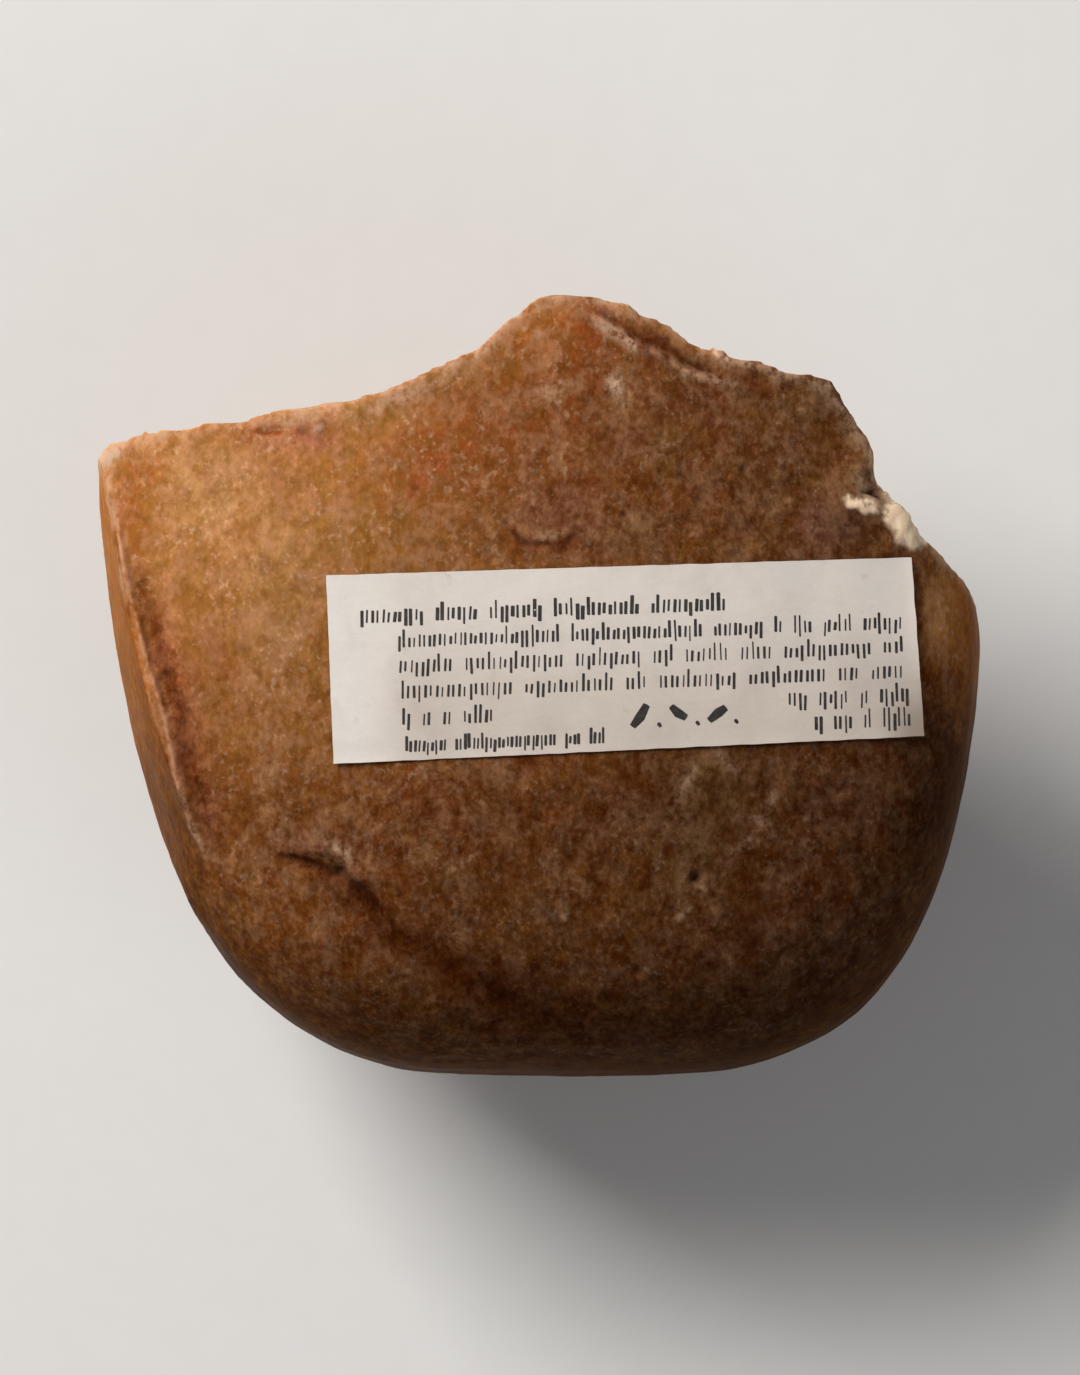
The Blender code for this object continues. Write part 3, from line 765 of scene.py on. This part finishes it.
def spread(grid, reach, how):
    """Each cell becomes the largest or the mean of the cells around it."""
    padded = np.pad(grid, reach, mode="edge")
    rows, columns = grid.shape
    window = []
    for j in range(2 * reach + 1):
        for i in range(2 * reach + 1):
            window.append(padded[j : j + rows, i : i + columns])
    return how(np.array(window), axis=0)


class Label:
    """The paper, laid over the stone. It gives the place of any share along and up it."""

    def __init__(self, stone, corners):
        tree = BVHTree.FromObject(stone, bpy.context.evaluated_depsgraph_get())
        self.corners = [Vector(c) for c in corners]
        wide, high = LABEL_CELLS
        ground = np.zeros((high + 1, wide + 1))
        self.plan = np.zeros((high + 1, wide + 1, 2))
        for j in range(high + 1):
            for i in range(wide + 1):
                p = self.flat(i / wide, j / high)
                self.plan[j, i] = p
                hit = tree.ray_cast(Vector((p.x * MM, p.y * MM, 0.1)), Vector((0, 0, -1)))[0]
                ground[j, i] = hit.z / MM
        bridged = spread(spread(ground, 2, np.max), 3, np.mean)
        self.level = np.maximum(bridged, ground + 0.02) + PAPER_LIFT
        for j in range(high + 1):
            for i in range(wide + 1):
                self.level[j, i] += self.curl(i / wide, j / high)

    def flat(self, u, v):
        low_left, low_right, top_right, top_left = self.corners
        p = low_left.lerp(low_right, u).lerp(top_left.lerp(top_right, u), v)
        ragged = 0.05 * noise.noise(Vector((u * 30.0, v * 10.0, 3.0)))
        return p + Vector((ragged, ragged))

    def curl(self, u, v):
        """The paper's edges have come up a little, most at the right end and the low left corner."""
        right = 0.16 * max(0.0, (u - 0.955) / 0.045) ** 2
        low = 0.10 * max(0.0, (0.08 - v) / 0.08) ** 2 * (0.4 + noise.noise(Vector((u * 9.0, 1.0, 0.0))))
        corner = 0.12 * max(0.0, 1.0 - math.hypot(u / 0.05, v / 0.15))
        crease = 0.03 * noise.noise(Vector((u * 7.0, v * 2.5, 8.0)))
        return max(0.0, right + low + corner) + crease

    def top(self, u, v):
        """The place on the paper's upper side."""
        wide, high = LABEL_CELLS
        x, y = min(max(u, 0.0), 1.0) * wide, min(max(v, 0.0), 1.0) * high
        i, j = min(int(x), wide - 1), min(int(y), high - 1)
        s, t = x - i, y - j
        rows = self.level[j : j + 2, i : i + 2]
        lower = rows[0, 0] * (1 - s) + rows[0, 1] * s
        upper = rows[1, 0] * (1 - s) + rows[1, 1] * s
        p = self.flat(u, v)
        return Vector((p.x, p.y, lower * (1 - t) + upper * t + PAPER))

    def build(self):
        wide, high = LABEL_CELLS
        work = bmesh.new()
        layers = []
        for lift in (0.0, PAPER):
            grid = []
            for j in range(high + 1):
                row = []
                for i in range(wide + 1):
                    x, y = self.plan[j, i]
                    row.append(work.verts.new(Vector((x, y, self.level[j, i] + lift)) * MM))
                grid.append(row)
            layers.append(grid)
        under, over = layers
        for j in range(high):
            for i in range(wide):
                work.faces.new((over[j][i], over[j][i + 1], over[j + 1][i + 1], over[j + 1][i]))
                work.faces.new((under[j + 1][i], under[j + 1][i + 1], under[j][i + 1], under[j][i]))
        for i in range(wide):
            work.faces.new((under[0][i], under[0][i + 1], over[0][i + 1], over[0][i]))
            work.faces.new((over[high][i], over[high][i + 1], under[high][i + 1], under[high][i]))
        for j in range(high):
            work.faces.new((over[j][0], over[j + 1][0], under[j + 1][0], under[j][0]))
            work.faces.new((under[j][wide], under[j + 1][wide], over[j + 1][wide], over[j][wide]))
        bmesh.ops.recalc_face_normals(work, faces=work.faces)
        mesh = bpy.data.meshes.new("label_paper")
        work.to_mesh(mesh)
        work.free()
        mesh.polygons.foreach_set("use_smooth", [True] * len(mesh.polygons))
        mesh.set_sharp_from_angle(angle=math.radians(50))
        return new_object("label_paper", mesh)


class Print:
    """Ink on the label: closed slivers that stand a hair proud of the paper."""

    def __init__(self, label):
        self.label = label
        self.length = (label.corners[1] - label.corners[0]).length
        self.height = (label.corners[3] - label.corners[0]).length
        self.work = bmesh.new()

    def stroke(self, u, v, path, weight):
        """A stroke along a path of millimetre offsets from a place on the label. weight is its width."""
        points = [Vector(p) for p in path]
        left, right = [], []
        for k, p in enumerate(points):
            before, after = points[max(0, k - 1)], points[min(len(points) - 1, k + 1)]
            run = (after - before).normalized()
            side = Vector((-run.y, run.x)) * 0.5 * (weight[k] if isinstance(weight, list) else weight)
            left.append(p + side)
            right.append(p - side)
        start = points[0] - (points[1] - points[0]).normalized() * 0.04
        end = points[-1] + (points[-1] - points[-2]).normalized() * 0.04
        ring = [start, *right, end, *reversed(left)]
        sides = []
        for rise in (-PRINT_RISE, PRINT_RISE):
            verts = []
            for p in ring:
                at = self.label.top(u + p.x / self.length, v + p.y / self.height)
                verts.append(self.work.verts.new(Vector((at.x, at.y, at.z + rise)) * MM))
            sides.append(verts)
        low, top = sides
        count, body = len(ring), len(points)
        for i in range(count):
            j = (i + 1) % count
            self.work.faces.new((low[i], low[j], top[j], top[i]))
        for verts in (low, top):
            self.work.faces.new((verts[0], verts[1], verts[count - 1]))
            for k in range(1, body):
                self.work.faces.new((verts[k], verts[k + 1], verts[count - k - 1], verts[count - k]))
            self.work.faces.new((verts[body], verts[body + 1], verts[body + 2]))

    def mark(self, draw, u, v, width, height, weight):
        """One small mark that isn't a letter: two upright bars side by side, of any height."""
        for at in (0.18 * width, 0.62 * width):
            lean = 0.04 + 0.05 * draw.random()
            foot = height * draw.choice((0.0, 0.0, 0.0, 0.0, 0.12, -0.35))
            tall = height * draw.choice((0.95, 1.0, 1.0, 0.90, 0.75, 1.45))
            self.stroke(u, v, ((at, foot), (at + lean, tall)), weight * draw.choice((1.0, 1.0, 0.6)))

    def row(self, draw, start, end, level, weight, height, words):
        """A row of marks in words, spread to fill its length."""
        gap = 0.9
        cells = sum(words) + gap * (len(words) - 1)
        step = (end - start) / cells
        at = start
        for word in words:
            for _ in range(word):
                thick = weight * (0.85 + 0.3 * draw.random())
                self.mark(draw, at, level, step * self.length, height, thick)
                at += step
            at += gap * step

    def pen(self, start, end, level):
        """Three slanting dabs of a thick pen, with a dot after each."""
        step = (end - start) / 3.0
        for k, dab in enumerate(PEN_DABS):
            u = start + step * k
            self.stroke(u, level, dab, [0.50, 0.78, 0.55])
            self.stroke(u, level, PEN_DOT, [0.34, 0.42, 0.34])

    def build(self):
        draw = random.Random(7)
        for row in ROWS:
            self.row(draw, *row)
        self.pen(*PEN)
        bmesh.ops.recalc_face_normals(self.work, faces=self.work.faces)
        mesh = bpy.data.meshes.new("label_print")
        self.work.to_mesh(mesh)
        self.work.free()
        return new_object("label_print", mesh)


# ---------------------------------------------------------------- materials


class Tree:
    """A material's nodes."""

    def __init__(self, name):
        self.material = bpy.data.materials.new(name)
        self.material.use_nodes = True
        self.tree = self.material.node_tree
        self.shader = self.tree.nodes["Principled BSDF"]
        coordinates = self.tree.nodes.new("ShaderNodeTexCoord")
        self.place = self.math_vector("SCALE", coordinates.outputs["Object"], scale=1.0 / MM)

    def put(self, socket, value):
        if isinstance(value, bpy.types.NodeSocket):
            self.tree.links.new(value, socket)
        else:
            socket.default_value = value

    def math_vector(self, operation, a, b=None, scale=None):
        made = self.tree.nodes.new("ShaderNodeVectorMath")
        made.operation = operation
        self.put(made.inputs[0], a)
        if b is not None:
            self.put(made.inputs[1], b)
        if scale is not None:
            self.put(made.inputs["Scale"], scale)
        return made.outputs[0]

    def vector(self, *parts):
        made = self.tree.nodes.new("ShaderNodeCombineXYZ")
        for socket, part in zip(made.inputs, parts):
            self.put(socket, part)
        return made.outputs[0]

    def math(self, operation, a, b=0.0, clamp=False):
        made = self.tree.nodes.new("ShaderNodeMath")
        made.operation = operation
        made.use_clamp = clamp
        self.put(made.inputs[0], a)
        self.put(made.inputs[1], b)
        return made.outputs[0]

    def times(self, a, b, clamp=False):
        return self.math("MULTIPLY", a, b, clamp)

    def plus(self, a, b):
        return self.math("ADD", a, b)

    def noise(self, size, detail=3.0, rough=0.55, squeeze=(1.0, 1.0, 1.0), shift=0.0, bend=0.0):
        """Noise whose lumps are size millimetres across."""
        made = self.tree.nodes.new("ShaderNodeTexNoise")
        stretched = self.math_vector("MULTIPLY", self.place, squeeze)
        self.put(made.inputs["Vector"], self.math_vector("ADD", stretched, (shift, shift, shift)))
        made.inputs["Scale"].default_value = 1.0 / size
        made.inputs["Detail"].default_value = detail
        made.inputs["Roughness"].default_value = rough
        made.inputs["Distortion"].default_value = bend
        return made.outputs["Fac"]

    def crystals(self, size, squeeze, shift, blend):
        """A value from 0 to 1 for each of many grains, size millimetres across. They run softly together."""
        stretched = self.math_vector("MULTIPLY", self.place, squeeze)
        warp = self.tree.nodes.new("ShaderNodeTexNoise")
        self.put(warp.inputs["Vector"], stretched)
        warp.inputs["Scale"].default_value = 1.6 / size
        away = self.math_vector("SUBTRACT", warp.outputs["Color"], (0.5 - shift, 0.5 - shift, 0.5 - shift))
        away = self.math_vector("SCALE", away, scale=size)
        made = self.tree.nodes.new("ShaderNodeTexVoronoi")
        made.feature = "SMOOTH_F1"
        self.put(made.inputs["Vector"], self.math_vector("ADD", stretched, away))
        made.inputs["Scale"].default_value = 1.0 / size
        made.inputs["Smoothness"].default_value = blend
        apart = self.tree.nodes.new("ShaderNodeSeparateColor")
        self.put(apart.inputs[0], made.outputs["Color"])
        return apart.outputs[0]

    def place_parts(self):
        """The place's three parts: along the stone, up its face, and out of it."""
        made = self.tree.nodes.new("ShaderNodeSeparateXYZ")
        self.put(made.inputs[0], self.place)
        return list(made.outputs)

    def ramp(self, value, low, high, to_low=0.0, to_high=1.0, ease="SMOOTHSTEP"):
        made = self.tree.nodes.new("ShaderNodeMapRange")
        made.interpolation_type = ease
        self.put(made.inputs[0], value)
        for socket, number in zip(made.inputs[1:5], (low, high, to_low, to_high)):
            socket.default_value = number
        return made.outputs[0]

    def field(self, name):
        """One of the fields that was worked out with the shape."""
        made = self.tree.nodes.new("ShaderNodeAttribute")
        made.attribute_name = name
        return made.outputs["Fac"]

    def mix(self, share, a, b, how="MIX"):
        made = self.tree.nodes.new("ShaderNodeMix")
        made.data_type = "RGBA"
        made.blend_type = how
        self.put(made.inputs["Factor"], share)
        self.put(made.inputs[6], a if isinstance(a, bpy.types.NodeSocket) else (*a, 1.0))
        self.put(made.inputs[7], b if isinstance(b, bpy.types.NodeSocket) else (*b, 1.0))
        return made.outputs[2]

    def bump(self, height, strength, distance, below=None):
        made = self.tree.nodes.new("ShaderNodeBump")
        made.inputs["Strength"].default_value = strength
        made.inputs["Distance"].default_value = distance * MM
        self.put(made.inputs["Height"], height)
        if below is not None:
            self.put(made.inputs["Normal"], below)
        return made.outputs["Normal"]


def quartz():
    """Iron-stained quartz: translucent, waxy, grained, with amber, red, violet, olive and pale clouds."""
    t = Tree("stained_quartz")
    mottle = t.noise(2.4, 5.0, 0.72, squeeze=(1.0, 0.80, 1.0), shift=31.0)
    clot = t.noise(1.3, 4.0, 0.70, squeeze=(1.0, 0.75, 1.0), shift=17.0)
    grain = t.noise(0.48, 3.0, 0.62, squeeze=(1.0, 0.80, 1.0), shift=7.0)
    crystals = t.crystals(0.80, (1.0, 0.65, 1.0), 2.0, 0.85)

    # Clear, deep-coloured quartz: its hue, as if the stone were all equally light, then its lightness
    hue = t.mix(t.ramp(t.field("tone_and_shade"), 0.09, 0.36), (1.00, 0.245, 0.036), (0.98, 0.455, 0.094))
    hue = t.mix(t.ramp(clot, 0.35, 0.65, 0.0, 0.5), hue, (1.06, 0.420, 0.100))
    fine = t.noise(0.85, 3.0, 0.6, squeeze=(1.0, 0.80, 1.0), shift=57.0)
    hue = t.mix(t.ramp(fine, 0.52, 0.66, 0.0, 0.36), hue, (1.10, 0.290, 0.095))
    hue = t.mix(t.ramp(fine, 0.48, 0.34, 0.0, 0.36), hue, (1.00, 0.440, 0.050))
    ragged = t.ramp(t.plus(mottle, clot), 0.80, 1.20, 0.30, 1.35)
    for name, wild, shift, colour in (
        ("amber", 0.50, 3.0, (1.16, 0.375, 0.042)),
        ("olive", 0.45, 43.0, (0.92, 0.430, 0.080)),
        ("red", 0.50, 51.0, (1.02, 0.220, 0.048)),
        ("violet", 0.20, 71.0, (0.95, 0.350, 0.200)),
        ("pale", 0.45, 93.0, (1.26, 0.640, 0.245)),
    ):
        share = t.times(t.field(name), ragged)
        loose = t.ramp(t.noise(4.2, 4.0, 0.66, shift=shift, bend=0.5), 0.52, 0.72, 0.0, wild)
        share = t.times(t.math("MAXIMUM", share, loose), 0.90, clamp=True)
        hue = t.mix(share, hue, colour)
    cloud = t.ramp(clot, 0.30, 0.70, 0.76, 1.24, "LINEAR")
    cloud = t.times(cloud, t.ramp(mottle, 0.30, 0.70, 0.84, 1.16, "LINEAR"))
    cloud = t.times(cloud, t.ramp(grain, 0.30, 0.70, 0.80, 1.20, "LINEAR"))
    cloud = t.math("POWER", cloud, t.ramp(t.field("tone_and_shade"), 0.06, 0.34, 1.75, 0.70))
    # Its lightness is partly the stone's own tone and partly painted shade and light
    light = t.times(t.field("tone_and_shade"), cloud)
    light = t.times(light, t.plus(1.0, t.times(t.field("lit"), 0.15)))
    # Sideways surfaces take a deep red-brown: painted, for the rims in shade
    hue = t.mix(t.times(t.field("side"), 0.85), hue, (0.98, 0.285, 0.012))
    warmth = t.vector(1.0, t.math("POWER", cloud, 0.28), t.math("POWER", cloud, 0.42))
    hue = t.math_vector("MULTIPLY", hue, warmth)
    colour = t.math_vector("SCALE", hue, scale=light)

    # Milky grains lie in it, and stay light where the rest is dark
    lighter = t.plus(0.006, t.times(light, 0.99))
    milky = t.math_vector("SCALE", (1.20, 0.560, 0.260), scale=lighter)
    share = t.plus(t.times(mottle, 0.50), t.times(crystals, 0.18))
    share = t.plus(share, t.times(grain, 0.32))
    share = t.times(t.ramp(share, 0.42, 0.62, 0.0, 0.80), t.ramp(t.field("side"), 0.0, 1.0, 1.0, 0.25))
    colour = t.mix(share, colour, milky)
    # Small bright flecks: painted glints of crystal faces
    glint_noise = t.noise(0.42, 2.0, 0.5, squeeze=(1.0, 0.8, 1.0), shift=23.0)
    crowd = t.ramp(t.noise(3.4, 3.0, 0.6, shift=91.0), 0.38, 0.62, 0.10, 1.0)
    glint_share = t.times(t.ramp(glint_noise, 0.55, 0.70, 0.0, 0.70), crowd)
    glint_share = t.times(glint_share, t.ramp(t.field("side"), 0.0, 1.0, 1.0, 0.35))
    colour = t.mix(glint_share, colour, t.math_vector("SCALE", (1.60, 0.950, 0.560), scale=lighter))

    # Where shade is painted, in hollows and darker patches, the colour is darker and redder as well
    colour = t.mix(t.field("shade_tint"), colour, (1.04, 0.68, 0.46), "MULTIPLY")

    # Scars are less stained, and the edge is worn to a whitish line, which is partly a painted highlight
    scar = t.times(t.field("scar"), t.ramp(mottle, 0.35, 0.65, 0.35, 0.85))
    colour = t.mix(scar, colour, (0.360, 0.170, 0.070))
    worn = t.times(t.field("edge"), t.ramp(clot, 0.40, 0.62, 0.05, 0.60))
    colour = t.mix(worn, colour, (0.540, 0.370, 0.250))
    # Frost is whitish quartz, with painted highlight on the ridges' rims and painted light beside the chip
    frost = t.times(t.field("frost"), t.ramp(t.plus(clot, grain), 0.72, 1.18, 0.0, 1.2), clamp=True)
    colour = t.mix(frost, colour, (0.560, 0.370, 0.250))
    crystal = t.times(t.field("crystal"), t.ramp(t.plus(mottle, clot), 0.75, 1.10, 0.55, 1.35))
    colour = t.mix(t.ramp(crystal, 0.15, 0.80, 0.0, 0.94), colour, (0.880, 0.690, 0.490))
    # Dirt in cracks and painted shade in hollows darken it towards deep brown
    dirt_and_shade = t.times(t.field("dirt_and_shade"), t.ramp(grain, 0.30, 0.60, 0.7, 1.0), clamp=True)
    colour = t.mix(t.times(dirt_and_shade, 0.75), colour, (0.072, 0.022, 0.010))

    t.put(t.shader.inputs["Base Color"], colour)
    t.put(t.shader.inputs["Roughness"], t.ramp(t.plus(grain, clot), 0.7, 1.3, 0.38, 0.56, "LINEAR"))
    t.shader.inputs["Specular IOR Level"].default_value = 0.012
    t.shader.inputs["Subsurface Weight"].default_value = 0.45
    t.shader.inputs["Subsurface Radius"].default_value = (1.0, 0.36, 0.12)
    t.shader.inputs["Subsurface Scale"].default_value = 1.4 * MM
    t.shader.inputs["IOR"].default_value = 1.54
    coarse = t.bump(clot, 0.6, 0.16)
    t.put(t.shader.inputs["Normal"], t.bump(grain, 0.5, 0.06, coarse))
    return t.material


def paper():
    """Off-white printing paper, a little soiled."""
    t = Tree("old_paper")
    soil = t.noise(6.0, 5.0, 0.62, bend=0.5)
    fibre = t.noise(0.35, 5.0, 0.7, squeeze=(0.5, 1.0, 1.0), shift=5.0, bend=1.0)
    colour = t.mix(t.ramp(soil, 0.45, 0.75, 0.0, 0.6), (0.775, 0.730, 0.685), (0.640, 0.580, 0.530))
    colour = t.mix(t.ramp(fibre, 0.35, 0.70, 0.0, 0.25), colour, (0.610, 0.560, 0.520))
    spot = t.ramp(t.noise(1.8, 3.0, 0.55, shift=44.0), 0.66, 0.76, 0.0, 0.35)
    colour = t.mix(spot, colour, (0.480, 0.400, 0.340))
    along, up = t.place_parts()[:2]
    # Painted shade: the paper is darker away from its left end and towards its bottom, and darkest at the low
    # right corner
    shade_falloff = t.times(t.ramp(along, -15.5, -9.0), t.ramp(up, -3.5, 9.0, 1.0, 0.40))
    colour = t.mix(shade_falloff, colour, (0.79, 0.735, 0.695), "MULTIPLY")
    corner = t.times(t.ramp(along, 25.5, 31.0), t.ramp(up, -4.0, 4.5, 1.0, 0.0))
    colour = t.mix(corner, colour, (0.52, 0.46, 0.41), "MULTIPLY")
    t.put(t.shader.inputs["Base Color"], colour)
    t.put(t.shader.inputs["Roughness"], t.ramp(fibre, 0.3, 0.7, 0.72, 0.88, "LINEAR"))
    coarse = t.bump(t.noise(2.4, 2.0, 0.5, shift=9.0), 0.20, 0.06)
    t.put(t.shader.inputs["Normal"], t.bump(fibre, 0.25, 0.02, coarse))
    return t.material


def ink():
    """Black print, thin in places."""
    t = Tree("black_print")
    worn = t.ramp(t.noise(0.5, 4.0, 0.6), 0.45, 0.75, 0.0, 0.5)
    t.put(t.shader.inputs["Base Color"], t.mix(worn, (0.020, 0.016, 0.015), (0.085, 0.070, 0.062)))
    t.put(t.shader.inputs["Roughness"], t.ramp(worn, 0.0, 0.5, 0.55, 0.75, "LINEAR"))
    return t.material


def backdrop():
    t = Tree("pale_card")
    colour = t.mix(t.noise(3.0, 3.0, 0.5), (0.76, 0.755, 0.745), (0.79, 0.785, 0.775))
    t.put(t.shader.inputs["Base Color"], colour)
    t.shader.inputs["Roughness"].default_value = 0.9
    return t.material


# ---------------------------------------------------------------- floor, light and camera


def add_floor(low):
    mesh = bpy.data.meshes.new("floor")
    half, level = FLOOR_HALF, low.z - 0.01 * MM
    corners = [(-half, -half, level), (half, -half, level), (half, half, level), (-half, half, level)]
    mesh.from_pydata(corners, [], [(0, 1, 2, 3)])
    mesh.materials.append(backdrop())
    floor = new_object("floor", mesh)
    floor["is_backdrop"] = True


def aim(obj, target):
    obj.rotation_euler = (Vector(target) - obj.location).to_track_quat("-Z", "Y").to_euler()


def add_light(name, centre, offset, size, power, colour):
    data = bpy.data.lights.new(name, "AREA")
    data.shape = "SQUARE"
    data.size = size
    data.energy = power
    data.color = colour
    lamp = new_object(name, data)
    lamp.location = centre + Vector(offset)
    aim(lamp, centre)


def light_and_camera(low, high):
    centre = (low + high) / 2
    add_light("key", centre, *KEY_LIGHT)
    add_light("fill", centre, *FILL_LIGHT)
    world = bpy.data.worlds.new("studio")
    world.use_nodes = True
    background = world.node_tree.nodes["Background"]
    background.inputs["Color"].default_value = WORLD_COLOUR
    background.inputs["Strength"].default_value = WORLD_STRENGTH
    bpy.context.scene.world = world
    bpy.context.scene.view_settings.view_transform = "Standard"

    data = bpy.data.cameras.new("camera")
    data.sensor_fit = "HORIZONTAL"
    data.sensor_width = 36.0
    frame_width = (high.x - low.x) / STONE_SHARE
    level = low.z + SHARE_LEVEL * (high.z - low.z)
    data.lens = data.sensor_width * CAMERA_DISTANCE / frame_width
    camera = new_object("camera", data)
    camera.location = (centre.x, centre.y, level + CAMERA_DISTANCE)
    bpy.context.scene.camera = camera


def main():
    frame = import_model()
    low, high = (Vector(corner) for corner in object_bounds())

    stone = build_stone(frame["nodes"]["pebble"])
    stone.data.materials.append(quartz())
    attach(stone, "root")
    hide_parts("pebble")

    label = Label(stone, label_corners(frame["nodes"]["paper_label"]))
    sheet = label.build()
    sheet.data.materials.append(paper())
    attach(sheet, "root")
    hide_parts("paper_label")

    marks = Print(label).build()
    marks.data.materials.append(ink())
    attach(marks, "root")

    add_floor(low)
    light_and_camera(low, high)
    bpy.context.view_layer.update()


main()
